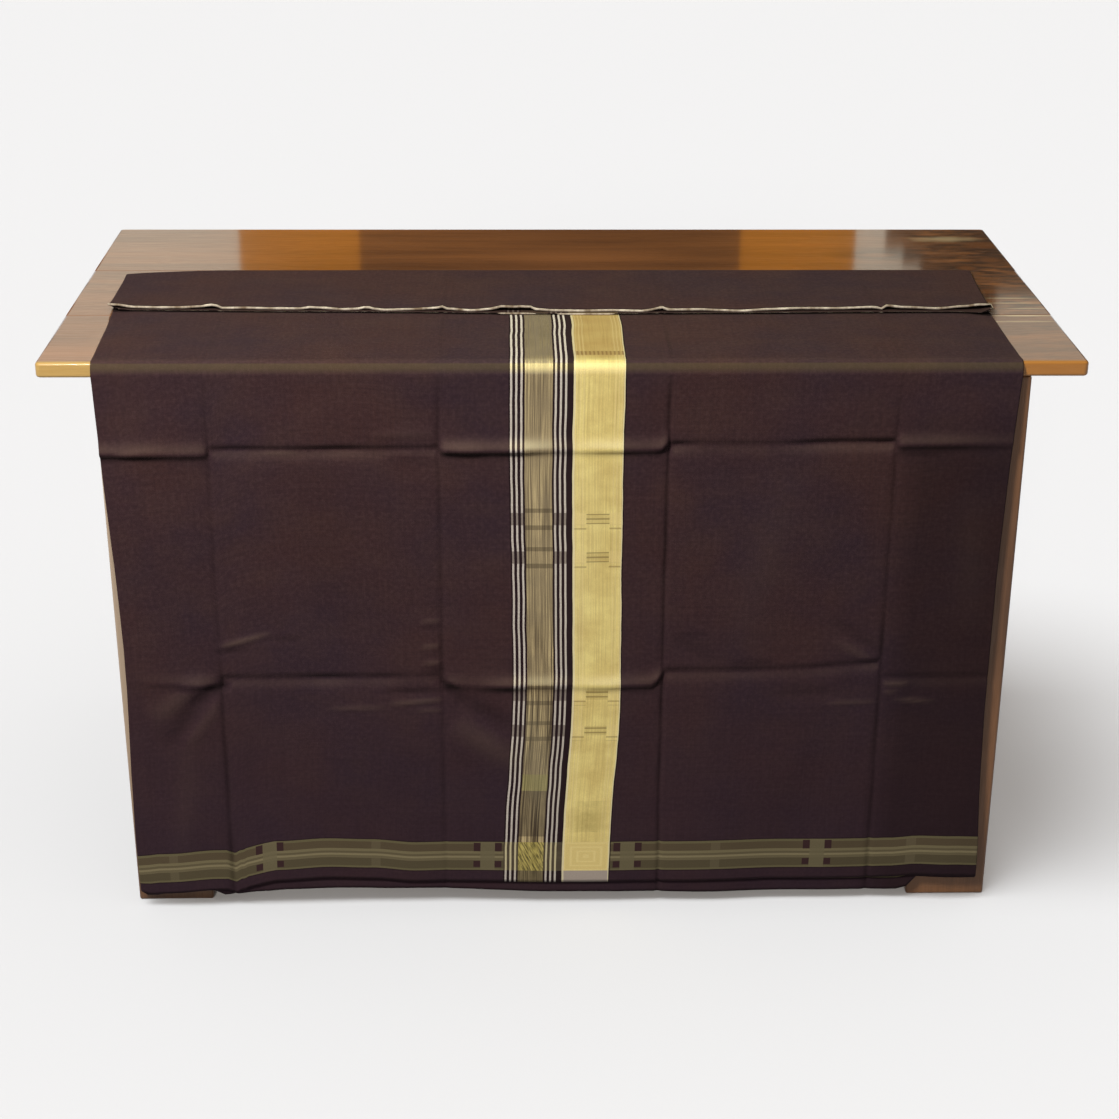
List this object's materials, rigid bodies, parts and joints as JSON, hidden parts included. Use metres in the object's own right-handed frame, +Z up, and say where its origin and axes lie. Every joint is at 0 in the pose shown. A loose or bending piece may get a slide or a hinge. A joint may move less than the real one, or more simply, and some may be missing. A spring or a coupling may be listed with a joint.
{
  "type": "sarong draped on a wooden table",
  "caption": "Dark brown handloom cotton sarong with a gold head band, pressed flat and draped over the front edge of a plain wooden table, its top turned back.",
  "frame": {"origin": "middle of the underside of the whole object's bounding box, on the floor", "axes": "+Z up, +X to the right along the table's length, and -Y towards the side where the cloth hangs"},
  "size_m": [1.22, 0.6212, 0.7287],
  "materials": {
    "sarong_cotton": "matte woven cotton",
    "cream_selvedge": "matte cotton thread",
    "varnished_wood": "worn glossy varnish"
  },
  "bodies": {
    "root": {"front_layer": "sarong_cotton", "back_layer": "sarong_cotton", "waist_selvedge": "cream_selvedge", "top_board_front": "varnished_wood", "top_board_middle": "varnished_wood", "top_board_back": "varnished_wood", "leg_front_left": "varnished_wood", "leg_front_right": "varnished_wood", "leg_back_left": "varnished_wood", "leg_back_right": "varnished_wood", "rail_front": "varnished_wood", "rail_back": "varnished_wood", "rail_left": "varnished_wood", "rail_right": "varnished_wood"}
  },
  "joints": []
}
